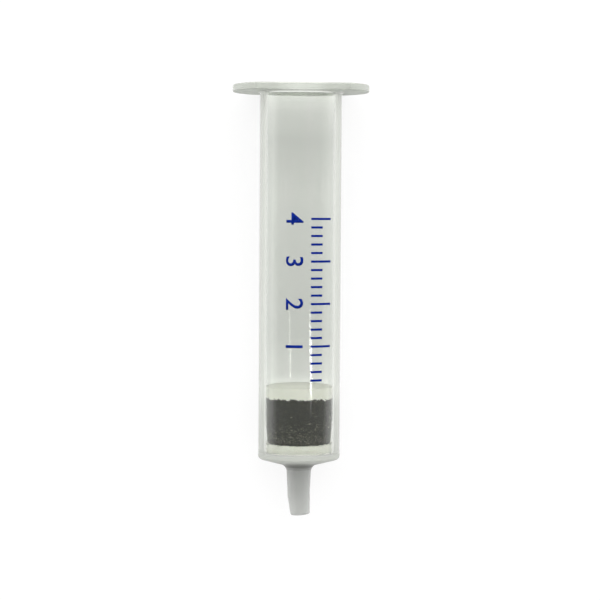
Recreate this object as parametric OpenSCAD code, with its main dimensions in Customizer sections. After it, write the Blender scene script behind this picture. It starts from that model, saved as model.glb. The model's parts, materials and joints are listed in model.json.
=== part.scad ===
// Solid-phase extraction cartridge in the form of a 6 mL syringe barrel.
//
// A tube moulded in one piece, with a winged flange round its open mouth and a
// slip tip under its floor, holds a bed of carbon between two porous frits.
// Each piece is drawn upright on the axis of the tube, with z = 0 on the seat of
// the lower frit, the mouth above it and the printed front toward -y.
// lay_down() then rests the cartridge on the floor, as it comes to rest: on one
// flat side of the flange and the heel of the tube, mouth toward +Y, print up.

/* [Tube] */
// Bore of the open reservoir
bore_d = 12.8; // [11:0.1:15]
// How much narrower the bore is where it grips the packing
bore_step = 0.1; // [0.05:0.05:0.4]
// Length of the gentle taper between the two bores
bore_taper_l = 2; // [1:0.5:6]
// Open length of the narrower bore above the upper frit
bore_land_l = 0.8; // [0.2:0.2:4]
// Thickness of the wall round the reservoir
wall_t = 1.2; // [0.9:0.1:2]
// Depth from the mouth to the seat of the lower frit
bore_depth = 68.3; // [45:0.1:90]
// Rounding of the inner edge of the mouth
mouth_r = 0.3; // [0.1:0.05:0.5]
// Rounding of the heel, the lower outer edge of the tube
heel_r = 0.6; // [0.4:0.1:1.3]

/* [Flange] */
// How far each wing of the flange stands out from the tube
wing_w = 5.05; // [3:0.05:8]
// How far each flat side of the flange stands out from the tube
side_w = 1.6; // [1.2:0.1:2.9]
// Thickness of the flange
flange_t = 1.4; // [1:0.05:2]
// Rounding of the flange's edges
flange_edge_r = 0.3; // [0.1:0.05:0.45]
// Fillet between the flange and the tube
flange_root_r = 0.35; // [0.1:0.05:0.6]

/* [Floor] */
// Thickness of the conical floor, measured along the tube
floor_t = 1.4; // [1:0.1:2.5]
// Slope of the conical floor in degrees
floor_slope = 15; // [8:1:25]
// Width of the flat ledge that carries the lower frit
ledge_w = 0.8; // [0.4:0.1:2]

/* [Tip] */
// Length of the straight part of the tip
tip_straight_l = 4.6; // [3:0.1:10]
// Length of the part of the tip past its bend
tip_end_l = 3.4; // [2:0.1:6]
// Outside diameter of the tip at the floor
tip_root_d = 4.7; // [4.5:0.05:5.5]
// Outside diameter of the tip at its bend
tip_bend_d = 4.24; // [3.8:0.02:4.4]
// Outside diameter of the tip at its end
tip_end_d = 3.64; // [3.2:0.02:3.8]
// Slight bend of the tip in degrees, toward +X
tip_bend = 4.5; // [1:0.5:8]
// Radius of that bend, on the axis of the tip
tip_bend_r = 15; // [8:1:30]
// Fillet between the floor and the tip
tip_root_r = 1.5; // [0.2:0.1:2]
// Rounding of the end of the tip
tip_edge_r = 0.25; // [0.1:0.05:0.5]
// Bore of the outlet at the floor
outlet_root_d = 2.4; // [1.8:0.1:2.8]
// Bore of the outlet at the bend
outlet_bend_d = 1.8; // [1.4:0.1:2]
// Bore of the outlet at the end of the tip
outlet_end_d = 1.4; // [1:0.1:1.6]

/* [Packing] */
// Thickness of the lower frit
lower_frit_t = 1.8; // [1:0.1:3]
// Height of the sorbent bed
bed_h = 8.5; // [3:0.1:25]
// Thickness of the upper frit
upper_frit_t = 2.2; // [1:0.1:3]
// Clearance between the packing and the bore that grips it
packing_gap = 0.02; // [0.01:0.01:0.1]

/* [Volume scale] */
// Number of numbered marks, one for each millilitre
scale_marks = 4; // [1:1:5]
// Number of steps that each millilitre is divided into
scale_steps = 5; // [1:1:10]
// Length round the tube of a numbered mark
long_mark_l = 4.2; // [2:0.1:6]
// Length round the tube of a mark between two numbers
short_mark_l = 2.3; // [1:0.1:3]
// Width of the printed lines
mark_w = 0.42; // [0.2:0.02:0.6]
// Distance round the tube from the middle of the front to the start of the marks
mark_start = 1.7; // [0:0.1:4]
// Thickness of the ink
ink_t = 0.03; // [0.02:0.01:0.1]

/* [Hidden] */
$fn = 96;
// Overlap that carries a cut clear of the face it passes through
past = 1;
// Overlap of two shapes whose surfaces run smoothly into each other
blend = 0.002;
// How far a fillet or the cut of a rounding reaches past its corner
corner_reach = 0.1;
// How much wider the bent length of the tip is than the cones that run into it
bend_ease = 0.01;
// How far those cones, drawn a little slimmer there, reach into the bent length
bend_reach = 0.3;

bore_r = bore_d / 2;
tube_r = bore_r + wall_t;
packed_r = bore_r - bore_step / 2;
packing_r = packed_r - packing_gap;

// Heights on the axis of the tube
bed_z = lower_frit_t;
upper_frit_z = bed_z + bed_h;
packing_top = upper_frit_z + upper_frit_t;
taper_z = packing_top + bore_land_l;
mouth_z = bore_depth;
flange_z = mouth_z - flange_t;

// Flange in plan
flange_r = tube_r + wing_w;
side_y = tube_r + side_w;

// Floor: its outer cone passes through (packed_r, -floor_t)
floor_rise = tan(floor_slope);
heel_z = -floor_t + (tube_r - packed_r) * floor_rise;
heel_turn = 90 - floor_slope;
heel_cut = heel_r * tan(heel_turn / 2);
funnel_r = packed_r - ledge_w;

// Tip: straight, then bent, then straight again to its end
tip_root_z = -floor_t - (packed_r - tip_root_d / 2) * floor_rise;
tip_bend_z = tip_root_z - tip_straight_l;
tip_taper = atan((tip_root_d - tip_bend_d) / 2 / tip_straight_l);
tip_end_taper = atan((tip_bend_d - tip_end_d) / 2 / tip_end_l);
outlet_root_z = -(funnel_r - outlet_root_d / 2) * floor_rise;

// Volume scale: one millilitre of the open bore, as a length
ml_l = 1000 / (PI * bore_r * bore_r);
degrees_per_mm = 180 / (PI * tube_r);

// The pose at rest.  The floor touches the rounded edge of the flange's flat side
// and the rounded heel, two circles in the (z, y) plane, and slopes by lean
// against the axis of the tube.
edge_z = flange_z + flange_edge_r;
edge_y = side_y - flange_edge_r;
rim_z = mouth_z - flange_edge_r;
heel_mid_z = heel_z + heel_cut;
heel_mid_y = tube_r - heel_r;
span_z = edge_z - heel_mid_z;
span_y = edge_y - heel_mid_y;
lean = atan2(span_y, span_z) - asin((heel_r - flange_edge_r) / norm([span_z, span_y]));
rest_h = edge_y * cos(lean) - edge_z * sin(lean) + flange_edge_r;

// Ends of the laid cartridge along Y, which set the middle of its footprint
end_z = tip_bend_z - tip_bend_r * sin(tip_bend) - tip_end_l * cos(tip_bend);
end_y = tip_end_d / 2 - tip_edge_r;
far_y = rim_z * cos(lean) + edge_y * sin(lean) + flange_edge_r;
near_y = (end_z + tip_edge_r) * cos(lean) - end_y * sin(lean) - tip_edge_r;

// Turns a piece drawn upright on the tube's axis into the pose at rest.
module lay_down() {
    translate([0, -(far_y + near_y) / 2, rest_h])
        rotate([lean - 90, 0, 0])
            children();
}

// What a rounding of radius r leaves of a 2D corner at the origin, whose two sides
// run off in the directions a and a + 180 - turn.
module corner_waste(r, a, turn) {
    cut = r * tan(turn / 2);
    inner = 180 - turn;
    middle = [cos(a + inner / 2), sin(a + inner / 2)];
    difference() {
        polygon([
            -corner_reach * middle,
            cut * [cos(a), sin(a)],
            r / cos(turn / 2) * middle,
            cut * [cos(a + inner), sin(a + inner)]
        ]);
        translate(r / cos(turn / 2) * middle)
            circle(r + blend);
    }
}

// The right half of a disc with rounded edges, from z to z + h.
module rounded_half(half_w, z, h, r) {
    translate([0, z])
        square([half_w - r, h]);
    translate([0, z + r])
        square([half_w, h - 2 * r]);
    for (side = [z + r, z + h - r])
        translate([half_w - r, side])
            circle(r);
}

// Section of the tube's outside, with its conical floor and the straight part of the tip.
module tube_section() {
    difference() {
        polygon([
            [0, mouth_z - flange_t / 2],
            [0, tip_bend_z - bend_reach],
            [tip_bend_d / 2 - bend_ease, tip_bend_z - bend_reach],
            [tip_bend_d / 2, tip_bend_z],
            [tip_root_d / 2, tip_root_z],
            [tube_r, heel_z],
            [tube_r, mouth_z - flange_t / 2]
        ]);
        translate([tube_r, heel_z])
            corner_waste(heel_r, 90, heel_turn);
    }
    translate([tip_root_d / 2, tip_root_z])
        corner_waste(tip_root_r, 270 - tip_taper, heel_turn - tip_taper);
    translate([tube_r, flange_z])
        corner_waste(flange_root_r, 270, 90);
}

// The flange: a round disc cut by two flats, all its edges rounded.
module flange() {
    intersection() {
        rotate_extrude()
            rounded_half(flange_r, flange_z, flange_t, flange_edge_r);
        rotate([90, 0, 90])
            linear_extrude(2 * flange_r + 2 * past, center = true) {
                rounded_half(side_y, flange_z, flange_t, flange_edge_r);
                mirror([1, 0])
                    rounded_half(side_y, flange_z, flange_t, flange_edge_r);
            }
    }
}

// Section of the bores, from above the mouth down to the bend of the outlet.
module bore_section() {
    polygon([
        [0, tip_bend_z - bend_reach],
        [outlet_bend_d / 2 - bend_ease, tip_bend_z - bend_reach],
        [outlet_bend_d / 2, tip_bend_z],
        [outlet_root_d / 2, outlet_root_z],
        [funnel_r, 0],
        [packed_r, 0],
        [packed_r, taper_z],
        [bore_r, taper_z + bore_taper_l],
        [bore_r, mouth_z + past],
        [0, mouth_z + past]
    ]);
    translate([bore_r, mouth_z])
        corner_waste(mouth_r, 270, 90);
}

// A round bar that follows the bend of the tip, over cones that end with radius r.
module bend_bar(r) {
    translate([tip_bend_r, 0, tip_bend_z])
        rotate([90, 0, 0])
            rotate([0, 0, 180])
                rotate_extrude(angle = tip_bend)
                    translate([tip_bend_r, 0])
                        circle(r + bend_ease);
}

// Moves what is drawn under z = 0 to the far end of the bend.
module past_bend() {
    translate([
        tip_bend_r * (1 - cos(tip_bend)),
        0,
        tip_bend_z - tip_bend_r * sin(tip_bend)
    ])
        rotate([0, -tip_bend, 0])
            children();
}

// The part of the tip past its bend, with a rounded end.
module tip_end() {
    rotate_extrude()
        difference() {
            polygon([
                [0, bend_reach],
                [0, -tip_end_l],
                [tip_end_d / 2, -tip_end_l],
                [tip_bend_d / 2, 0],
                [tip_bend_d / 2 - bend_ease, bend_reach]
            ]);
            translate([tip_end_d / 2, -tip_end_l])
                corner_waste(tip_edge_r, 90 - tip_end_taper, 90 - tip_end_taper);
        }
}

// The outlet past the bend, open at the end of the tip.
module outlet_end() {
    rotate_extrude()
        polygon([
            [0, bend_reach],
            [0, -tip_end_l - past],
            [outlet_end_d / 2, -tip_end_l - past],
            [outlet_end_d / 2, -tip_end_l],
            [outlet_bend_d / 2, 0],
            [outlet_bend_d / 2 - bend_ease, bend_reach]
        ]);
}

// The one-piece moulding.
module barrel() {
    color([0.86, 0.88, 0.85, 0.45])
        lay_down()
            difference() {
                union() {
                    rotate_extrude()
                        tube_section();
                    flange();
                    bend_bar(tip_bend_d / 2);
                    past_bend()
                        tip_end();
                }
                rotate_extrude()
                    bore_section();
                bend_bar(outlet_bend_d / 2);
                past_bend()
                    outlet_end();
            }
}

// One plug of the packing, which fills the gripped bore from z over the height h.
module plug(z, h) {
    lay_down()
        translate([0, 0, z])
            cylinder(h = h, r = packing_r);
}

module lower_frit() {
    color([0.91, 0.91, 0.84])
        plug(0, lower_frit_t);
}

module sorbent_bed() {
    color([0.2, 0.2, 0.18])
        plug(bed_z, bed_h);
}

module upper_frit() {
    color([0.91, 0.91, 0.84])
        plug(upper_frit_z, upper_frit_t);
}

// One printed line of length l round the tube, at the height z.
module mark(z, l) {
    translate([0, 0, z - mark_w / 2])
        rotate([0, 0, mark_start * degrees_per_mm - 90])
            rotate_extrude(angle = l * degrees_per_mm)
                translate([tube_r, 0])
                    square([ink_t, mark_w]);
}

// Millilitre marks, counted up from the top of the packing.
module volume_scale() {
    color([0.13, 0.24, 0.5])
        lay_down()
            for (i = [1 : scale_marks * scale_steps])
                mark(
                    packing_top + i * ml_l / scale_steps,
                    i % scale_steps == 0 ? long_mark_l : short_mark_l
                );
}

barrel();
lower_frit();
sorbent_bed();
upper_frit();
volume_scale();
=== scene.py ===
# %% [markdown]
# # A solid-phase extraction cartridge
#
# The real thing is a syringe barrel of natural polypropylene, moulded in one shot, with a
# plug of carbon held between two porous discs.  Almost all of its looks come from light
# that passes through clear walls, so this lesson is mostly about clean, even meshes: a
# facet that nobody would notice on wood or paint shows at once in a transparent wall.
#
# Every piece is modelled upright in millimetres, with z = 0 where the lower disc sits,
# and is then scaled to metres and laid on the floor, as the measured frame lies.

# %% Load the frame
import json
import math

import bmesh
import bpy
from mathutils import Matrix, Vector


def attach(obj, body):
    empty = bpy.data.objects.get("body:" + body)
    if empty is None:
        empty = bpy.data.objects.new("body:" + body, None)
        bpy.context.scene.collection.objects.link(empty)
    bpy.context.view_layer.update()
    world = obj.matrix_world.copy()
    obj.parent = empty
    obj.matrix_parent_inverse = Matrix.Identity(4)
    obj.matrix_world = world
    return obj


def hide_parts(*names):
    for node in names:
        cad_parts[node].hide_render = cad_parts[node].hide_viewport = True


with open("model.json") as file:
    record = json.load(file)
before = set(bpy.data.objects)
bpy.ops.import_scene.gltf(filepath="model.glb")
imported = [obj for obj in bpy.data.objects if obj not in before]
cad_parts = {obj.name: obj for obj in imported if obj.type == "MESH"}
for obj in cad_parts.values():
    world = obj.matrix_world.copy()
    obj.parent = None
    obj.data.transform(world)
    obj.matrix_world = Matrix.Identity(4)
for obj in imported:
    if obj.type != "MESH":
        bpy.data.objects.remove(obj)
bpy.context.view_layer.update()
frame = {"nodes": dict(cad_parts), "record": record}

# %% [markdown]
# The record that comes with the frame states where the bore and the outside of the tube
# are, so the radii, the direction of the tube and the place of its mouth are read from
# there.  What the record does not state is repeated here as the mould's own sizes.

# %% Read the tube's place and sizes
mounts = {m["name"]: m for m in frame["record"]["mounts"]}
BORE_R = mounts["reservoir_bore"]["dims"]["r_mm"]
TUBE_R = mounts["tube_outside"]["dims"]["r_mm"]
MM = 0.001

bore_depth = 68.3
tube_axis = Vector(mounts["reservoir_bore"]["axis"]).normalized()
on_axis = Vector(mounts["reservoir_bore"]["pos_m"])
to_mouth = (Vector(mounts["mouth_face"]["pos_m"]) - on_axis).dot(tube_axis)
seat_place = on_axis + tube_axis * (to_mouth - bore_depth * MM)
lean = math.atan2(tube_axis.z, tube_axis.y)
LAID = (
    Matrix.Translation(seat_place)
    @ Matrix.Rotation(lean - math.pi / 2, 4, "X")
    @ Matrix.Scale(MM, 4)
)
print("bore radius", BORE_R, "tube radius", TUBE_R, "lean in degrees", round(math.degrees(lean), 3))

# %% Sizes of the moulding, in millimetres
packed_r = BORE_R - 0.05
land_l, taper_l = 0.8, 2
mouth_round = 0.3
heel_round = 0.6

wing_w, side_w = 5.05, 1.6
flange_t = 1.4
flange_round = 0.3
flange_fillet = 0.35

floor_t = 1.4
floor_rise = math.tan(math.radians(15))
ledge_w = 0.8

tip_straight_l, tip_end_l = 4.6, 3.4
tip_root_r, tip_bend_r, tip_end_r = 2.35, 2.12, 1.82
outlet_root_r, outlet_bend_r, outlet_end_r = 1.2, 0.9, 0.7
tip_turn = math.radians(4.5)
bend_radius = 15
tip_fillet = 1.5
tip_round = 0.25

lower_frit_t, bed_h, upper_frit_t = 1.8, 8.5, 2.2
packing_r = packed_r - 0.02

# %% [markdown]
# ## Helpers
#
# Operators act on whatever is selected, and loading the frame leaves things selected.
# These helpers clear the selection first, then pick one object or pick points by place.

# %% Helpers for selecting and placing
def only(obj):
    """Make obj the one selected and active object."""
    if bpy.context.object and bpy.context.object.mode != "OBJECT":
        bpy.ops.object.mode_set(mode="OBJECT")
    bpy.ops.object.select_all(action="DESELECT")
    obj.select_set(True)
    bpy.context.view_layer.objects.active = obj


def pick(obj, wanted):
    """In edit mode, select the points for which wanted(point) is true, and count them."""
    mesh = bmesh.from_edit_mesh(obj.data)
    count = 0
    for vert in mesh.verts:
        vert.select_set(wanted(vert.co))
        count += vert.select
    mesh.select_flush_mode()
    bmesh.update_edit_mesh(obj.data)
    return count


def lay_down(obj):
    """Scale an upright piece to metres, lay it where the frame lies and apply its place."""
    only(obj)
    obj.matrix_world = LAID
    bpy.ops.object.transform_apply(location=True, rotation=True, scale=True)


def smooth(obj, degrees):
    """Smooth shading, with creases only where faces meet at more than that angle."""
    only(obj)
    bpy.ops.object.shade_smooth_by_angle(angle=math.radians(degrees))


# %% [markdown]
# Everything in this cartridge was turned or moulded round one axis.  By hand one would
# draw half of its section and spin it round, so that is what `lathe` does.  The section
# is a list of corners, each with the radius that rounds it, and `rounded_section` puts an
# arc at each corner.  It also adds a point close to each end of an arc: that holds the
# shading of the flat stretch next to it flat, right up to the rounding.

# %% Helpers for turned pieces
HOLD = 0.06


def rounded_section(corners, steps=8, closed=True):
    """Points of a section given as (radius, height, rounding) corners."""
    points = []
    last = len(corners) - 1
    for i, (r, z, rounding) in enumerate(corners):
        here = Vector((r, z))
        if rounding == 0 or (not closed and i in (0, last)):
            points.append(here)
            continue
        before = Vector(corners[i - 1][:2]) - here
        after = Vector(corners[(i + 1) % len(corners)][:2]) - here
        turn = math.pi - before.angle(after)
        cut = rounding * math.tan(turn / 2)
        start = here + before.normalized() * cut
        end = here + after.normalized() * cut
        middle = (before.normalized() + after.normalized()).normalized()
        centre = here + middle * rounding / math.cos(turn / 2)
        if before.length > cut + 3 * HOLD:
            points.append(start + before.normalized() * HOLD)
        first = start - centre
        side = math.copysign(1, first.cross(end - centre))
        for step in range(steps + 1):
            turned = side * turn * step / steps
            cos, sin = math.cos(turned), math.sin(turned)
            offset = Vector((first.x * cos - first.y * sin, first.x * sin + first.y * cos))
            points.append(centre + offset)
        if after.length > cut + 3 * HOLD:
            points.append(end + after.normalized() * HOLD)
    if closed:
        points.append(points[0])
    return points


def lathe(name, points, steps):
    """Draw a half section point by point and spin it round the Z axis."""
    bpy.ops.object.select_all(action="DESELECT")
    bpy.ops.mesh.primitive_plane_add(size=1)
    obj = bpy.context.object
    obj.name = obj.data.name = name
    bpy.ops.object.mode_set(mode="EDIT")
    bpy.ops.mesh.select_all(action="SELECT")
    bpy.ops.mesh.merge(type="CENTER")
    here = Vector((0, 0))
    for i, point in enumerate(points):
        step = point - here
        if i == 0:
            bpy.ops.transform.translate(value=(step.x, 0, step.y))
        else:
            bpy.ops.mesh.extrude_region_move(
                TRANSFORM_OT_translate={"value": (step.x, 0, step.y)}
            )
        here = point
    bpy.ops.mesh.select_all(action="SELECT")
    bpy.ops.mesh.spin(steps=steps, angle=2 * math.pi, center=(0, 0, 0), axis=(0, 0, 1))
    bpy.ops.mesh.select_all(action="SELECT")
    bpy.ops.mesh.remove_doubles(threshold=1e-4)
    bpy.ops.mesh.normals_make_consistent(inside=False)
    bpy.ops.object.mode_set(mode="OBJECT")
    return obj


# %% [markdown]
# ## The barrel
#
# Tube, flange, floor and tip are one moulding, so they are one mesh.  Its section runs
# from the mouth over the flange, down the outside, round the end of the tip and back up
# through the outlet, the funnel and the bore.  Two rings of points at each height of the
# bend, one outside and one inside, let the tip be bent later without kinks.

# %% Draw and spin the barrel
mouth_z = bore_depth
flange_z = mouth_z - flange_t
flange_r = TUBE_R + wing_w
side_y = TUBE_R + side_w
heel_z = -floor_t + (TUBE_R - packed_r) * floor_rise
funnel_r = packed_r - ledge_w
tip_root_z = -floor_t - (packed_r - tip_root_r) * floor_rise
bend_z = tip_root_z - tip_straight_l
outlet_root_z = -(funnel_r - outlet_root_r) * floor_rise
packing_top = lower_frit_t + bed_h + upper_frit_t
taper_z = packing_top + land_l

bend_l = bend_radius * tip_turn
BEND_STEPS = 6
bend_levels = [bend_z - bend_l * k / BEND_STEPS for k in range(BEND_STEPS + 1)]
tip_end_z = bend_levels[-1] - tip_end_l

barrel_section = rounded_section(
    [
        (BORE_R, mouth_z, mouth_round),
        (flange_r, mouth_z, flange_round),
        (flange_r, flange_z, flange_round),
        (TUBE_R, flange_z, flange_fillet),
        (TUBE_R, heel_z, heel_round),
        (tip_root_r, tip_root_z, tip_fillet),
    ]
    + [(tip_bend_r, z, 0) for z in bend_levels]
    + [
        (tip_end_r, tip_end_z, tip_round),
        (outlet_end_r, tip_end_z, 0.1),
    ]
    + [(outlet_bend_r, z, 0) for z in reversed(bend_levels)]
    + [
        (outlet_root_r, outlet_root_z, 0.25),
        (funnel_r, 0, 0.1),
        (packed_r, 0, 0.1),
        (packed_r, taper_z, 0),
        (BORE_R, taper_z + taper_l, 0),
    ]
)
barrel = lathe("barrel_moulding", barrel_section, 192)
print("barrel:", len(barrel_section), "points in the section,", len(barrel.data.polygons), "faces")

# %% [markdown]
# The flange is round only at its two wings.  Its other two sides are flat, so that the
# cartridge doesn't roll.  Each ring of the rim is pressed against a plane, one at a time
# and each as far in as it lies from the edge, and so the flats get the same rounded edges
# as the wings.

# %% Press the two flats of the flange
only(barrel)
bpy.ops.object.mode_set(mode="EDIT")
rim_rings = sorted(
    {
        (round(p.x, 5), round(p.y, 5))
        for p in barrel_section
        if p.x > flange_r - flange_round - 2 * HOLD
    }
)
for ring_r, ring_z in rim_rings:
    flat_y = side_y - (flange_r - ring_r)
    for side in (-1, 1):
        def beyond(co):
            on_ring = abs(co.z - ring_z) < 1e-3 and abs(math.hypot(co.x, co.y) - ring_r) < 1e-3
            return on_ring and side * co.y > flat_y
        count = pick(barrel, beyond)
        bpy.ops.transform.resize(value=(1, 0, 1), center_override=(0, side * flat_y, 0))
print("flats:", len(rim_rings), "rings pressed,", count, "points in the last one")

# %% [markdown]
# The tip of this cartridge leans a few degrees to one side past the middle of its length.
# Each level of the bend is turned about its own centre, then moved up by the length that
# the curve takes up, and all that lies past the bend follows in one piece.

# %% Bend the tip
for k, level in enumerate(bend_levels):
    past_bend = k == BEND_STEPS
    slack = 1e-3
    pick(barrel, lambda co: co.z < level + slack and (past_bend or co.z > level - slack))
    bpy.ops.transform.rotate(
        value=tip_turn * k / BEND_STEPS,
        orient_axis="Y",
        center_override=(bend_radius, 0, level),
    )
    bpy.ops.transform.translate(value=(0, 0, bend_z - level))
bpy.ops.object.mode_set(mode="OBJECT")
tip_side = max(v.co.x for v in barrel.data.vertices if v.co.z < bend_levels[-1] - 1)
print("tip: leans to x =", round(tip_side, 3), "mm")

# %% Lay the barrel down
smooth(barrel, 50)
lay_down(barrel)
print("barrel lies between", [round(c / MM, 2) for c in barrel.bound_box[0]], "and",
      [round(c / MM, 2) for c in barrel.bound_box[6]])

# %% [markdown]
# ## The packing
#
# Between two porous discs lies the carbon, a coarse black powder.  Where they meet, the
# edge is ragged: grains stand up beside the upper disc and the discs, punched from a
# sheet of sintered beads, are never quite true.  So a disc and the bed get fine meshes,
# and `crumble` moves only the points near an edge up and down: they are put in a vertex
# group, and a Displace modifier along Z moves that group by a cloud texture.

# %% Helper for ragged edges
RIM_R = 5.4
crumb = bpy.data.textures.new("crumbs", "CLOUDS")
crumb.noise_scale = 0.22
crumb.noise_depth = 1


def crumble(obj, low_z, high_z, strength):
    """Move the points of the rim between two heights up and down by a cloud texture."""
    only(obj)
    bpy.ops.object.mode_set(mode="EDIT")
    bpy.ops.mesh.select_mode(type="VERT")
    count = pick(obj, lambda co: math.hypot(co.x, co.y) > RIM_R and low_z < co.z < high_z)
    bpy.ops.object.vertex_group_add()
    bpy.ops.object.vertex_group_assign()
    bpy.ops.object.mode_set(mode="OBJECT")
    ragged = obj.modifiers.new("ragged_edge", "DISPLACE")
    ragged.texture = crumb
    ragged.texture_coords = "LOCAL"
    ragged.direction = "Z"
    ragged.strength = strength
    ragged.mid_level = 0.5
    ragged.vertex_group = obj.vertex_groups.active.name
    bpy.ops.object.modifier_apply(modifier=ragged.name)
    obj.vertex_groups.clear()
    return count


# %% Turn the two discs
disc_r = packing_r - 0.06
inner_ring_r = 4.5


def turned_disc(name, low_z, high_z, low_round, high_round, steps, rows):
    """A disc of packing with rounded edges, with rows of points up its side."""
    side = [(disc_r, low_z + (high_z - low_z) * k / rows, 0) for k in range(1, rows)]
    corners = (
        [(0, low_z, 0), (inner_ring_r, low_z, 0), (disc_r, low_z, low_round)]
        + side
        + [(disc_r, high_z, high_round), (inner_ring_r, high_z, 0), (0, high_z, 0)]
    )
    return lathe(name, rounded_section(corners, steps=3, closed=False), steps)


upper_z = lower_frit_t + bed_h
lower_disc = turned_disc("lower_disc", 0, lower_frit_t, 0.15, 0.05, 320, 9)
upper_disc = turned_disc("upper_disc", upper_z, packing_top, 0.05, 0.15, 320, 11)
crumble(lower_disc, lower_frit_t - 0.1, lower_frit_t + 0.1, 0.5)
crumble(upper_disc, upper_z - 0.1, upper_z + 0.1, 1.0)
for disc in (lower_disc, upper_disc):
    smooth(disc, 60)
    lay_down(disc)
    print(disc.name, len(disc.data.polygons), "faces")

# %% [markdown]
# ## The carbon bed
#
# Seen close, the surface of the bed is a relief of grains a tenth of a millimetre high.
# It is a little slimmer toward the bottom, where it has been pressed less.  Its ends
# reach a little into the discs, so that no gap shows at the ragged edges.

# %% Turn the bed and give it grain
bed_rows = 84
bed_low, bed_high = lower_frit_t - 0.05, upper_z + 0.2
bed_r = packing_r - 0.02
loose_z = bed_low + 0.6 * bed_h
loose_r = bed_r - 0.45
core_r = 2


def bed_side_r(z):
    """Radius of the bed, which is packed less tightly toward its lower end."""
    return loose_r + (bed_r - loose_r) * min(1, (z - bed_low) / (loose_z - bed_low))


bed_levels = [bed_low + (bed_high - bed_low) * k / bed_rows for k in range(7, bed_rows - 1)]
bed_section = rounded_section(
    [(0, bed_low, 0), (core_r, bed_low, 0), (inner_ring_r, bed_low, 0), (loose_r, bed_low, 0.6)]
    + [(bed_side_r(z), z, 0) for z in bed_levels]
    + [(bed_r, bed_high, 0.08), (inner_ring_r, bed_high, 0), (core_r, bed_high, 0), (0, bed_high, 0)],
    steps=6,
    closed=False,
)
bed = lathe("carbon_bed", bed_section, 400)
grain = bpy.data.textures.new("carbon_grain", "CLOUDS")
grain.noise_scale = 0.16
grain.noise_depth = 1
only(bed)
relief = bed.modifiers.new("grain_relief", "DISPLACE")
relief.texture = grain
relief.texture_coords = "LOCAL"
relief.strength = 0.16
relief.mid_level = 0.85
bpy.ops.object.modifier_apply(modifier=relief.name)
count = crumble(bed, bed_low - 0.1, bed_low + 0.3, 0.6)
count += crumble(bed, bed_high - 0.3, bed_high + 0.1, 1.0)
print("bed:", len(bed.data.polygons), "faces, radius", round(max(v.co.x for v in bed.data.vertices), 3),
      "and", count, "points crumbled")
smooth(bed, 70)
lay_down(bed)

# %% [markdown]
# ## The numerals of the volume scale
#
# The marks of the scale are thin plates in the frame.  Their numerals are added here: a
# text is typed, turned to run down the tube, made a mesh, cut into narrow strips that can
# follow a curve, and then wrapped on the tube with a Cast modifier, which moves every
# point out to a cylinder.  A Solidify modifier gives the ink its thickness.

# %% Print the numerals
ml_l = 1000 / (math.pi * BORE_R**2)
numeral_h = 3.3
numeral_x = -1.6
height_share = 0.7
ink_t, ink_sunk = 0.03, 0.005


def numeral(text, z):
    """One printed numeral, turned to read down the tube and wrapped on it."""
    bpy.ops.object.select_all(action="DESELECT")
    bpy.ops.object.text_add(location=(numeral_x, -TUBE_R, z), rotation=(math.pi / 2, math.pi / 2, 0))
    obj = bpy.context.object
    obj.data.body = text
    obj.data.size = numeral_h / height_share
    obj.data.offset = 0.04
    obj.data.align_x = "CENTER"
    obj.data.align_y = "CENTER"
    obj.data.resolution_u = 8
    bpy.ops.object.convert(target="MESH")
    obj = bpy.context.object
    bpy.ops.object.transform_apply(location=True, rotation=True, scale=True)
    bpy.ops.object.mode_set(mode="EDIT")
    low_x = min(v.co.x for v in bmesh.from_edit_mesh(obj.data).verts)
    high_x = max(v.co.x for v in bmesh.from_edit_mesh(obj.data).verts)
    strips = 12
    for k in range(1, strips):
        bpy.ops.mesh.select_all(action="SELECT")
        bpy.ops.mesh.bisect(
            plane_co=(low_x + (high_x - low_x) * k / strips, 0, 0), plane_no=(1, 0, 0)
        )
    bpy.ops.object.mode_set(mode="OBJECT")
    wrap = obj.modifiers.new("wrap", "CAST")
    wrap.cast_type = "CYLINDER"
    wrap.factor = 1
    wrap.size = TUBE_R + ink_t
    wrap.use_radius_as_size = False
    wrap.use_z = False
    bpy.ops.object.modifier_apply(modifier=wrap.name)
    body = obj.modifiers.new("ink_thickness", "SOLIDIFY")
    body.thickness = ink_t + ink_sunk
    body.offset = -1
    bpy.ops.object.modifier_apply(modifier=body.name)
    return obj


numerals = []
for millilitres in range(1, 5):
    digit = numeral(str(millilitres), packing_top + millilitres * ml_l)
    digit.name = digit.data.name = "numeral_" + str(millilitres)
    lay_down(digit)
    numerals.append(digit)
    print(digit.name, [round(d / MM, 2) for d in digit.dimensions], "mm")

# %% [markdown]
# ## Materials
#
# Each finish is a short node tree.  Its patterns read Object coordinates: the pieces
# have their place in their mesh, so a pattern stays fixed on the piece from every side.
# What is the same all over a surface is set on the shader's own sockets.
#
# Many things here change with the height on the tube or with the distance from its axis.
# `upright` turns the coordinates back for that: a Mapping node of the type Texture undoes
# the place, the turn and the size that it is given.

# %% Helpers for materials: coordinates and patterns
def new_finish(name):
    """A material with a Principled shader, its nodes, its links and Object coordinates."""
    material = bpy.data.materials.new(name)
    material.use_nodes = True
    tree = material.node_tree
    shader = tree.nodes["Principled BSDF"]
    place = tree.nodes.new("ShaderNodeTexCoord")
    return material, tree, shader, place.outputs["Object"]


def upright(tree, vector):
    """The coordinates in millimetres, with z up the cartridge from where the disc sits."""
    mapping = tree.nodes.new("ShaderNodeMapping")
    mapping.vector_type = "TEXTURE"
    mapping.inputs["Location"].default_value = seat_place
    mapping.inputs["Rotation"].default_value = (lean - math.pi / 2, 0, 0)
    mapping.inputs["Scale"].default_value = (MM, MM, MM)
    tree.links.new(vector, mapping.inputs["Vector"])
    return mapping.outputs["Vector"]


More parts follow.
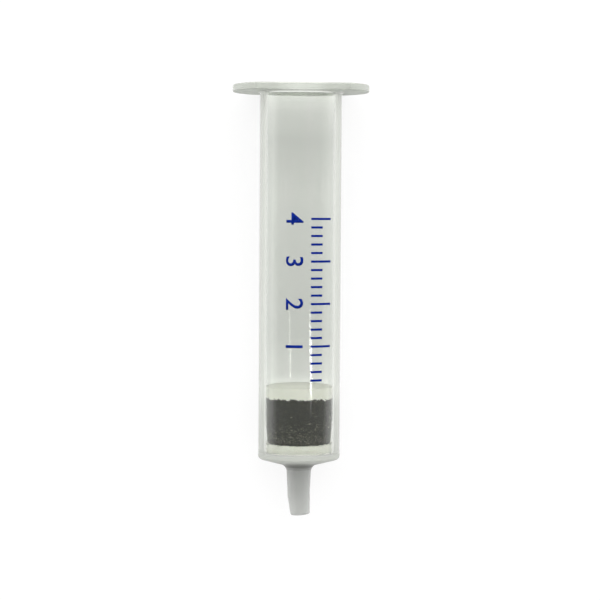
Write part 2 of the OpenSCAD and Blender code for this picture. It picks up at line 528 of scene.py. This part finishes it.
def stretched(tree, vector, scale):
    """The coordinates, scaled by a different amount along each axis."""
    mapping = tree.nodes.new("ShaderNodeMapping")
    mapping.inputs["Scale"].default_value = scale
    tree.links.new(vector, mapping.inputs["Vector"])
    return mapping.outputs["Vector"]


def noise(tree, vector, scale, detail=2):
    """A noise pattern from 0 to 1."""
    node = tree.nodes.new("ShaderNodeTexNoise")
    node.inputs["Scale"].default_value = scale
    node.inputs["Detail"].default_value = detail
    tree.links.new(vector, node.inputs["Vector"])
    return node.outputs["Fac"]


def cells(tree, vector, scale, dimensions="3D"):
    """A pattern of cells: how far the middle of the cell is, and a colour for each cell."""
    node = tree.nodes.new("ShaderNodeTexVoronoi")
    node.voronoi_dimensions = dimensions
    node.inputs["Scale"].default_value = scale
    tree.links.new(vector, node.inputs["Vector"])
    return node.outputs["Distance"], node.outputs["Color"]


def relief_from(tree, height, shader, strength, distance):
    """Bump on the shader from a height pattern; distance is in metres."""
    node = tree.nodes.new("ShaderNodeBump")
    node.inputs["Strength"].default_value = strength
    node.inputs["Distance"].default_value = distance
    tree.links.new(height, node.inputs["Height"])
    tree.links.new(node.outputs["Normal"], shader.inputs["Normal"])


def dress(obj, material):
    """Give a piece its material, in every slot that it has."""
    if not obj.data.materials:
        obj.data.materials.append(material)
    for i in range(len(obj.data.materials)):
        obj.data.materials[i] = material


# %% [markdown]
# The next helpers do the sums on those patterns.  Each takes numbers, colours or the
# outputs of other nodes, which `put` sets on a socket or links to it.

# %% Helpers for materials: sums and colours
def put(tree, value, socket):
    """Set a socket to a number or a colour, or link it to another node's output."""
    if isinstance(value, bpy.types.NodeSocket):
        tree.links.new(value, socket)
    elif socket.type == "RGBA":
        socket.default_value = (*grey(value), 1)
    else:
        socket.default_value = value


def grey(tone):
    """A colour as it is, or a grey of one tone."""
    return tone if isinstance(tone, tuple) else (tone, tone, tone)


def scaled(colour, factor):
    """A colour, made lighter or darker by a factor."""
    return tuple(min(1, c * factor) for c in colour)


def ramp(tree, factor, stops):
    """Tones or colours by factor, given as (position, tone) stops."""
    node = tree.nodes.new("ShaderNodeValToRGB")
    elements = node.color_ramp.elements
    while len(elements) < len(stops):
        elements.new(0.5)
    for element, (position, tone) in zip(elements, stops):
        element.position = position
        element.color = (*grey(tone), 1)
    tree.links.new(factor, node.inputs["Fac"])
    return node.outputs["Color"]


def calc(tree, operation, a, b):
    """One sum on two values."""
    node = tree.nodes.new("ShaderNodeMath")
    node.operation = operation
    put(tree, a, node.inputs[0])
    put(tree, b, node.inputs[1])
    return node.outputs["Value"]


def slide(tree, value, low, high, at_low=0, at_high=1, soft=False):
    """A value that goes from at_low to at_high while the input goes from low to high."""
    node = tree.nodes.new("ShaderNodeMapRange")
    if soft:
        node.interpolation_type = "SMOOTHSTEP"
    put(tree, value, node.inputs["Value"])
    put(tree, low, node.inputs["From Min"])
    put(tree, high, node.inputs["From Max"])
    put(tree, at_low, node.inputs["To Min"])
    put(tree, at_high, node.inputs["To Max"])
    return node.outputs["Result"]


def by_height(tree, height, stops):
    """Tones by height, given as (millimetres, tone) stops."""
    low, high = stops[0][0], stops[-1][0]
    factor = slide(tree, height, low, high)
    return ramp(tree, factor, [((h - low) / (high - low), tone) for h, tone in stops])


def mixed(tree, factor, a, b, blend="MIX"):
    """Colour a where the factor is 0 and b where it is 1."""
    node = tree.nodes.new("ShaderNodeMix")
    node.data_type = "RGBA"
    node.blend_type = blend
    put(tree, factor, node.inputs["Factor"])
    put(tree, a, node.inputs["A"])
    put(tree, b, node.inputs["B"])
    return node.outputs["Result"]


def tinted(tree, a, b):
    """One colour seen through another."""
    return mixed(tree, 1, a, b, "MULTIPLY")


# %% [markdown]
# ### Polypropylene
# Part of the tint is painted shade: greys laid by height, by angle and on the thick parts.
#
# Natural polypropylene is clear but a little milky, because it is full of tiny crystals,
# and the longer the way of the light through it, the milkier it looks.  Looking straight
# into a thin wall one sees through it; along the wall at both sides of the tube, and into
# the thick flange and heel, it is milky.  True scattering inside the wall would
# take very many samples, so three things are set by place and by angle instead: how much
# light passes, the tint of what passes and the roughness.
#
# First the places: the height, the distance from the axis, and from these whether a point
# is on the outside, on the flange, on the heel, on the tip or beside the packing.

# %% Polypropylene: places on the moulding
clear_pp, tree, shader, place = new_finish("natural_polypropylene")
millimetres = upright(tree, place)
split = tree.nodes.new("ShaderNodeSeparateXYZ")
tree.links.new(millimetres, split.inputs["Vector"])
height = split.outputs["Z"]
across = tree.nodes.new("ShaderNodeVectorMath")
across.operation = "LENGTH"
tree.links.new(stretched(tree, millimetres, (1, 1, 0)), across.inputs[0])
radius = across.outputs["Value"]

mid_wall = slide(tree, height, tip_root_z + 0.9, -0.5, 1.45, 7)
outside = slide(tree, calc(tree, "SUBTRACT", radius, mid_wall), -0.1, 0.1)
up_to_flange = slide(tree, height, flange_z - 0.5, flange_z + 0.1, soft=True)
on_flange = calc(tree, "MULTIPLY", up_to_flange, slide(tree, radius, 6.8, 7.3))
on_tip = slide(tree, height, tip_root_z - 1, tip_root_z, 1, 0, soft=True)
on_heel = slide(tree, height, -0.3, 0.7, 1, 0, soft=True)
at_packing = slide(tree, height, packing_top + 0.2, packing_top + 1.4, 1, 0)

glancing = tree.nodes.new("ShaderNodeLayerWeight")
glancing.inputs["Blend"].default_value = 0.5
facing = glancing.outputs["Facing"]

# %% [markdown]
# The Layer Weight node gives 0 where the wall is seen straight on and 1 where it is seen
# edge on, so a ramp on it makes the wall milky at both sides of the tube.  The bore and
# the outlet stay clear, or the light would be lost twice on its way through each wall.

# %% Polypropylene: how much light passes
wall = ramp(
    tree, facing, [(0, 0.985), (0.38, 0.96), (0.45, 0.6), (0.5, 0.18), (0.7, 0.08), (1, 0.06)]
)
packed_wall = ramp(
    tree, facing, [(0, 0.99), (0.38, 0.97), (0.45, 0.6), (0.5, 0.2), (0.75, 0.1), (1, 0.08)]
)
tip_wall = ramp(tree, facing, [(0, 0.45), (0.5, 0.4), (0.8, 0.2)])
wall = slide(tree, at_packing, 0, 1, wall, packed_wall)
wall = slide(tree, on_heel, 0, 1, wall, 0.12)
wall = slide(tree, outside, 0, 1, 1, wall)
tip_wall = slide(tree, outside, 0, 1, 1, tip_wall)
clarity = slide(tree, on_flange, 0, 1, wall, 0.45)
clarity = slide(tree, on_tip, 0, 1, clarity, tip_wall)
tree.links.new(clarity, shader.inputs["Transmission Weight"])

# %% [markdown]
# The tint starts from the slightly green white of the plastic, with faint streaks along
# the tube where the melt ran as the mould was filled.  Edge on it is greyer: partly from
# the longer way of the light through the milky wall, and partly painted shade of the
# tube's sides, which starts sooner beside the packing.  More painted shade is laid by
# height, down the middle of the tube and along its sides.

# %% Polypropylene: tint of the walls, with painted shade
plastic = (0.975, 1.0, 0.955)
milk = (0.985, 1.0, 0.955)
streaks = noise(tree, stretched(tree, millimetres, (1, 1, 0.12)), 0.42, detail=3)
base = ramp(tree, streaks, [(0.3, scaled(plastic, 0.985)), (0.7, scaled(plastic, 1.015))])
# Edge on, greyer: partly the longer way through the milky wall, partly painted shade.
clear_edge_depth_and_shade = ramp(
    tree, facing, [(0, 1.0), (0.38, 1.0), (0.44, 0.88), (0.5, 0.72), (0.72, 0.62), (1, 0.58)]
)
# Beside the packing this painted shade starts at a smaller angle.
packed_edge_depth_and_shade = ramp(
    tree, facing, [(0, 1.0), (0.3, 1.0), (0.4, 0.8), (0.5, 0.72), (0.7, 0.72), (1, 0.6)]
)
glancing_depth_and_shade = mixed(tree, at_packing, clear_edge_depth_and_shade, packed_edge_depth_and_shade)
glancing_depth_and_shade = mixed(tree, outside, 1.0, glancing_depth_and_shade)

# Painted shade down the middle of the tube: darker between the packing and the flange.
middle_painted_shade = by_height(
    tree,
    height,
    [
        (-1, 1.0), (12.9, 1.0), (13.5, 0.92), (14.5, 0.89), (22, 0.83), (36, 0.84),
        (48, 0.86), (58, 0.81), (63, 0.86), (65.5, 0.93), (66.8, 1.0), (68.3, 1.0),
    ],
)
# Painted shade along the sides of the tube: darkest beside the packing.
side_painted_shade = by_height(
    tree,
    height,
    [
        (-1, 0.54), (0.5, 0.58), (2.2, 0.58), (4.5, 0.60), (8.5, 0.62), (11.5, 0.74),
        (14, 0.79), (58, 0.78), (63, 0.86), (66, 1.0), (68.3, 1.0),
    ],
)
at_side = slide(tree, facing, 0.42, 0.5)
# Seen edge on, the painted shade of the sides takes over from that of the middle.
tone = mixed(tree, at_side, middle_painted_shade, side_painted_shade)
milky = mixed(tree, calc(tree, "MULTIPLY", at_side, outside), 1.0, milk)
walls = tinted(tree, tinted(tree, base, glancing_depth_and_shade), tinted(tree, tone, milky))

# %% [markdown]
# The heel, the flange and the tip are thick, so they get tones of their own: greys that
# are painted shade.  On the tip the painted shade is lighter toward its end.

# %% Polypropylene: painted shade on the heel, the flange and the tip
# Painted shade on the outside of the heel: dark grey, darkest near the outlet.
heel_painted_shade = by_height(
    tree, radius, [(0, 0.14), (2.3, 0.16), (4, 0.19), (6, 0.33), (7.6, 0.48), (10, 0.48)]
)
heel = tinted(tree, base, mixed(tree, outside, 1.0, tinted(tree, heel_painted_shade, milk)))
# Painted shade: grey tones on the flange, and on the tip inside and out.
flange_painted_shade, tip_inside, tip_middle, tip_end = 0.62, 0.6, 0.5, 0.64
flange = tuple(p * m * flange_painted_shade for p, m in zip(plastic, milk))
to_end = slide(tree, height, bend_z, tip_end_z, 0, 0.5)
tip_painted_shade = mixed(tree, outside, tip_inside, mixed(tree, to_end, tip_middle, tip_end))
tint = mixed(tree, on_heel, walls, heel)
tint = mixed(tree, on_flange, tint, flange)
tint = mixed(tree, on_tip, tint, tinted(tree, base, tip_painted_shade))
tree.links.new(tint, shader.inputs["Base Color"])

# %% [markdown]
# The moulding is polished, but for the flange and the heel.  Those lie where the parts of
# the mould meet, and are left satin, the underside of the flange most of all.

# %% Polypropylene: gloss
near_underside = calc(
    tree,
    "MULTIPLY",
    slide(tree, height, flange_z - 0.3, flange_z - 0.1),
    slide(tree, height, flange_z + 0.15, flange_z + 0.3, 1, 0),
)
near_underside = calc(tree, "MULTIPLY", near_underside, slide(tree, radius, 7.7, 8))
gloss = slide(tree, calc(tree, "SUBTRACT", on_heel, on_tip), 0, 1, 0.06, 0.45)
gloss = slide(tree, slide(tree, radius, 8.2, 8.8), 0, 1, gloss, 0.25)
gloss = slide(tree, near_underside, 0, 1, gloss, 0.5)
tree.links.new(gloss, shader.inputs["Roughness"])
shader.inputs["IOR"].default_value = 1.49
dress(barrel, clear_pp)
print("polypropylene:", len(tree.nodes), "nodes")

# %% [markdown]
# ### Porous plastic
#
# Sintered beads of polyethylene look like fine snow: matt, slightly warm white, with a
# pattern of beads too small to see one by one.

# %% Porous plastic
porous, tree, shader, place = new_finish("porous_polyethylene")
beads = noise(tree, place, 5200, detail=2)
cloud = noise(tree, place, 700, detail=2)
tone = ramp(tree, cloud, [(0.35, (0.98, 0.98, 0.895)), (0.65, (0.995, 0.995, 0.93))])
tree.links.new(tone, shader.inputs["Base Color"])
shader.inputs["Roughness"].default_value = 0.85
relief_from(tree, beads, shader, 0.6, 0.00006)
for disc in (lower_disc, upper_disc):
    dress(disc, porous)

# %% [markdown]
# ### Carbon
#
# The grains are nearly black, each a little different.  Where a grain doesn't touch the
# wall, air behind the wall glitters, and that glitter is painted in as pale dots at both
# flanks of the bed and, fewer, in its lower part: painted glints.  A dot is drawn round
# the middle of a cell, and only in the cells whose random red value is less than the
# chance of a dot at that place.

# %% Carbon
def dots(tree, distance, colour, chance, size):
    """A mask of round dots in cells picked by chance, and a random tone for each."""
    random_values = tree.nodes.new("ShaderNodeSeparateColor")
    tree.links.new(colour, random_values.inputs["Color"])
    picked = slide(tree, calc(tree, "SUBTRACT", chance, random_values.outputs["Red"]), -0.03, 0.03)
    inside = slide(tree, distance, size - 0.08, size + 0.08, 1, 0)
    return calc(tree, "MULTIPLY", picked, inside), random_values.outputs["Green"]


carbon, tree, shader, place = new_finish("carbon_grains")
millimetres = upright(tree, place)
split = tree.nodes.new("ShaderNodeSeparateXYZ")
tree.links.new(millimetres, split.inputs["Vector"])
x, height = split.outputs["X"], split.outputs["Z"]
grain_distance, grain_colour = cells(tree, millimetres, 7.5)
tone = ramp(tree, grain_colour, [(0.2, (0.008, 0.008, 0.004)), (0.85, (0.04, 0.039, 0.024))])

# Painted glints: pale dots in the lower part of the bed.
speck_distance, speck_colour = cells(tree, millimetres, 6)
low_chance = slide(tree, height, 6.8, bed_low, 0, 0.45)
shown, lightness = dots(tree, speck_distance, speck_colour, low_chance, 0.42)
painted_glint = ramp(tree, lightness, [(0, (0.12, 0.12, 0.09)), (1, (0.42, 0.42, 0.31))])
tone = mixed(tree, shown, tone, painted_glint)

# Painted glints: pale dots on both flanks of the bed, placed on the surface unrolled flat.
turn = calc(tree, "ARCTAN2", x, calc(tree, "MULTIPLY", split.outputs["Y"], -1))
unrolled = tree.nodes.new("ShaderNodeCombineXYZ")
tree.links.new(calc(tree, "MULTIPLY", turn, 2.6), unrolled.inputs["X"])
tree.links.new(height, unrolled.inputs["Y"])
flank_distance, flank_colour = cells(tree, unrolled.outputs["Vector"], 4.5, "2D")
right = slide(tree, x, 4.6, 6.0, soft=True)
right = calc(tree, "MULTIPLY", right, slide(tree, height, 10.2, 8, 0.1, 0.5))
left = slide(tree, x, -5.2, -6.1, soft=True)
left = calc(tree, "MULTIPLY", left, slide(tree, height, 9.5, 7.5, 0.1, 0.4))
flank_chance = calc(tree, "MAXIMUM", right, left)
shown, lightness = dots(tree, flank_distance, flank_colour, flank_chance, 0.4)
painted_glint = ramp(tree, lightness, [(0, (0.1, 0.1, 0.07)), (1, (0.6, 0.6, 0.46))])
tone = mixed(tree, shown, tone, painted_glint)
tree.links.new(tone, shader.inputs["Base Color"])
shader.inputs["Roughness"].default_value = 0.6
relief_from(tree, grain_distance, shader, 0.7, 0.00008)
dress(bed, carbon)

# %% [markdown]
# ### Ink
#
# Screen ink lies thin and matt on the plastic, so most of its gloss is taken away with
# the specular level.

# %% Ink
ink, tree, shader, place = new_finish("blue_ink")
cover = noise(tree, place, 3000, detail=3)
tone = ramp(tree, cover, [(0.3, (0.001, 0.012, 0.155)), (0.7, (0.002, 0.017, 0.195))])
tree.links.new(tone, shader.inputs["Base Color"])
shader.inputs["Roughness"].default_value = 0.5
shader.inputs["Specular IOR Level"].default_value = 0.05
for piece in (*numerals, frame["nodes"]["volume_scale"]):
    dress(piece, ink)
print("materials:", sorted(m.name for m in bpy.data.materials if m.users))

# %% [markdown]
# ## Bodies
#
# Nothing moves on this object, so the frame has one body and every piece rides on it.
# Each turned piece stands for the plain node of the frame that it was made over.

# %% Ride on the frame
STANDS_FOR = [
    (barrel, "barrel", "polypropylene"),
    (lower_disc, "lower_frit", "porous_disc"),
    (bed, "sorbent_bed", "carbon"),
    (upper_disc, "upper_frit", "porous_disc"),
]
for piece, node, slot in STANDS_FOR:
    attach(piece, "root")
    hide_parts(node)
for digit in numerals:
    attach(digit, "root")

# %% [markdown]
# ## Stage
#
# The floor is plain and white.  Part of its look is a white glow, but only for rays from
# the camera and for rays that come by way of gloss or glass.  So it looks white in the
# picture and through the tube, keeps the shadow of the object, and lights the object no
# more than a sheet of white paper would.

# %% Floor
bpy.ops.object.select_all(action="DESELECT")
bpy.ops.mesh.primitive_plane_add(size=6)
floor = bpy.context.object
floor.name = "floor"
glow_share = 0.84
paper, tree, shader, place = new_finish("white_paper")
shader.inputs["Base Color"].default_value = (0.93, 0.93, 0.93, 1)
shader.inputs["Roughness"].default_value = 1
shader.inputs["Specular IOR Level"].default_value = 0
ray = tree.nodes.new("ShaderNodeLightPath")
seen = calc(tree, "MAXIMUM", ray.outputs["Is Camera Ray"], ray.outputs["Is Glossy Ray"])
seen = calc(tree, "MAXIMUM", seen, ray.outputs["Is Transmission Ray"])
white = tree.nodes.new("ShaderNodeEmission")
white.inputs["Color"].default_value = (1, 1, 1, 1)
white.inputs["Strength"].default_value = 1
blend = tree.nodes.new("ShaderNodeMixShader")
tree.links.new(calc(tree, "MULTIPLY", seen, glow_share), blend.inputs["Fac"])
tree.links.new(shader.outputs["BSDF"], blend.inputs[1])
tree.links.new(white.outputs["Emission"], blend.inputs[2])
tree.links.new(blend.outputs["Shader"], tree.nodes["Material Output"].inputs["Surface"])
dress(floor, paper)

# %% [markdown]
# A clear tube shows its shape by what it mirrors.  Right over the tube the studio is
# dark, so that the front of the wall mirrors almost nothing and the black bed stays
# black.  Most of the light comes from beyond the mouth, a little from beyond the tip, and
# near the horizon the studio is as pale as the floor.

# %% Studio
world = bpy.data.worlds.new("studio")
bpy.context.scene.world = world
world.use_nodes = True
tree = world.node_tree
sky = tree.nodes["Background"]
sky_level = 3.0
sky.inputs["Strength"].default_value = sky_level
direction = tree.nodes.new("ShaderNodeTexCoord")
split = tree.nodes.new("ShaderNodeSeparateXYZ")
tree.links.new(direction.outputs["Generated"], split.inputs["Vector"])
belt = by_height(
    tree,
    split.outputs["Y"],
    [(-1, 0.3), (-0.3, 0.3), (-0.2, 0.09), (0.1, 0.09), (0.22, 0.72), (0.5, 0.9), (1, 1.0)],
)
horizon = ramp(tree, split.outputs["Z"], [(0.1, 1), (0.2, 0)])
tree.links.new(mixed(tree, horizon, belt, 1 / sky_level), sky.inputs["Color"])

# %% Lamps
def lamp(name, local_place, local_aim, size_x, size_y, radiance):
    """A soft rectangular lamp at a place given round the upright tube, in millimetres."""
    data = bpy.data.lights.new(name, "AREA")
    data.shape = "RECTANGLE"
    data.size, data.size_y = size_x * MM, size_y * MM
    data.energy = radiance * math.pi * data.size * data.size_y
    obj = bpy.data.objects.new(name, data)
    bpy.context.collection.objects.link(obj)
    place, aim = LAID @ Vector(local_place), LAID @ Vector(local_aim)
    obj.location = place
    obj.rotation_euler = (aim - place).to_track_quat("-Z", "Y").to_euler()
    return obj


lamp_turn = math.radians(30)
lamp_distance = 365
lamp_level = -13.1
lamp(
    "spark_lamp",
    (lamp_distance * math.sin(lamp_turn), -lamp_distance * math.cos(lamp_turn), lamp_level),
    (0, 0, lamp_level),
    size_x=20,
    size_y=29,
    radiance=22,
)

# %% [markdown]
# ## Camera
#
# The cartridge is seen from above, across its printed side, with its mouth at the top of
# the picture.  The camera stands straight over a point not far below the flange and is
# tipped a little toward the other end.

# %% Camera
FRAME_PX = 600
focal_px = 1963.6
sensor_mm = 36
camera_distance = 365
camera_level = mouth_z - 22.2
camera_pitch = math.radians(2.77)
camera_yaw = math.radians(2.5)
camera_roll = math.radians(0.35)
camera_shift = 0.04

camera_data = bpy.data.cameras.new("camera")
camera = bpy.data.objects.new("camera", camera_data)
bpy.context.collection.objects.link(camera)
camera_data.sensor_width = sensor_mm
camera_data.lens = focal_px / FRAME_PX * sensor_mm
camera_data.clip_start, camera_data.clip_end = 0.01, 20
around = Vector((-math.sin(camera_yaw), -math.cos(camera_yaw), 0))
eye = around * camera_distance + Vector((0, 0, camera_level))
target = Vector((camera_shift, 0, camera_level - camera_distance * math.tan(camera_pitch)))
eye_place, target_place = LAID @ eye, LAID @ target
look = (target_place - eye_place).normalized()
right = look.cross(LAID.to_3x3() @ Vector((0, 0, 1))).normalized()
up = right.cross(look)
aimed = Matrix((right, up, -look)).transposed().to_4x4()
camera.matrix_world = (
    Matrix.Translation(eye_place) @ aimed @ Matrix.Rotation(camera_roll, 4, "Z")
)
bpy.context.scene.camera = camera
print("camera: lens", round(camera_data.lens, 1), "mm, at", [round(c, 3) for c in eye_place])

# %% Finish
bpy.context.scene.view_settings.view_transform = "Standard"
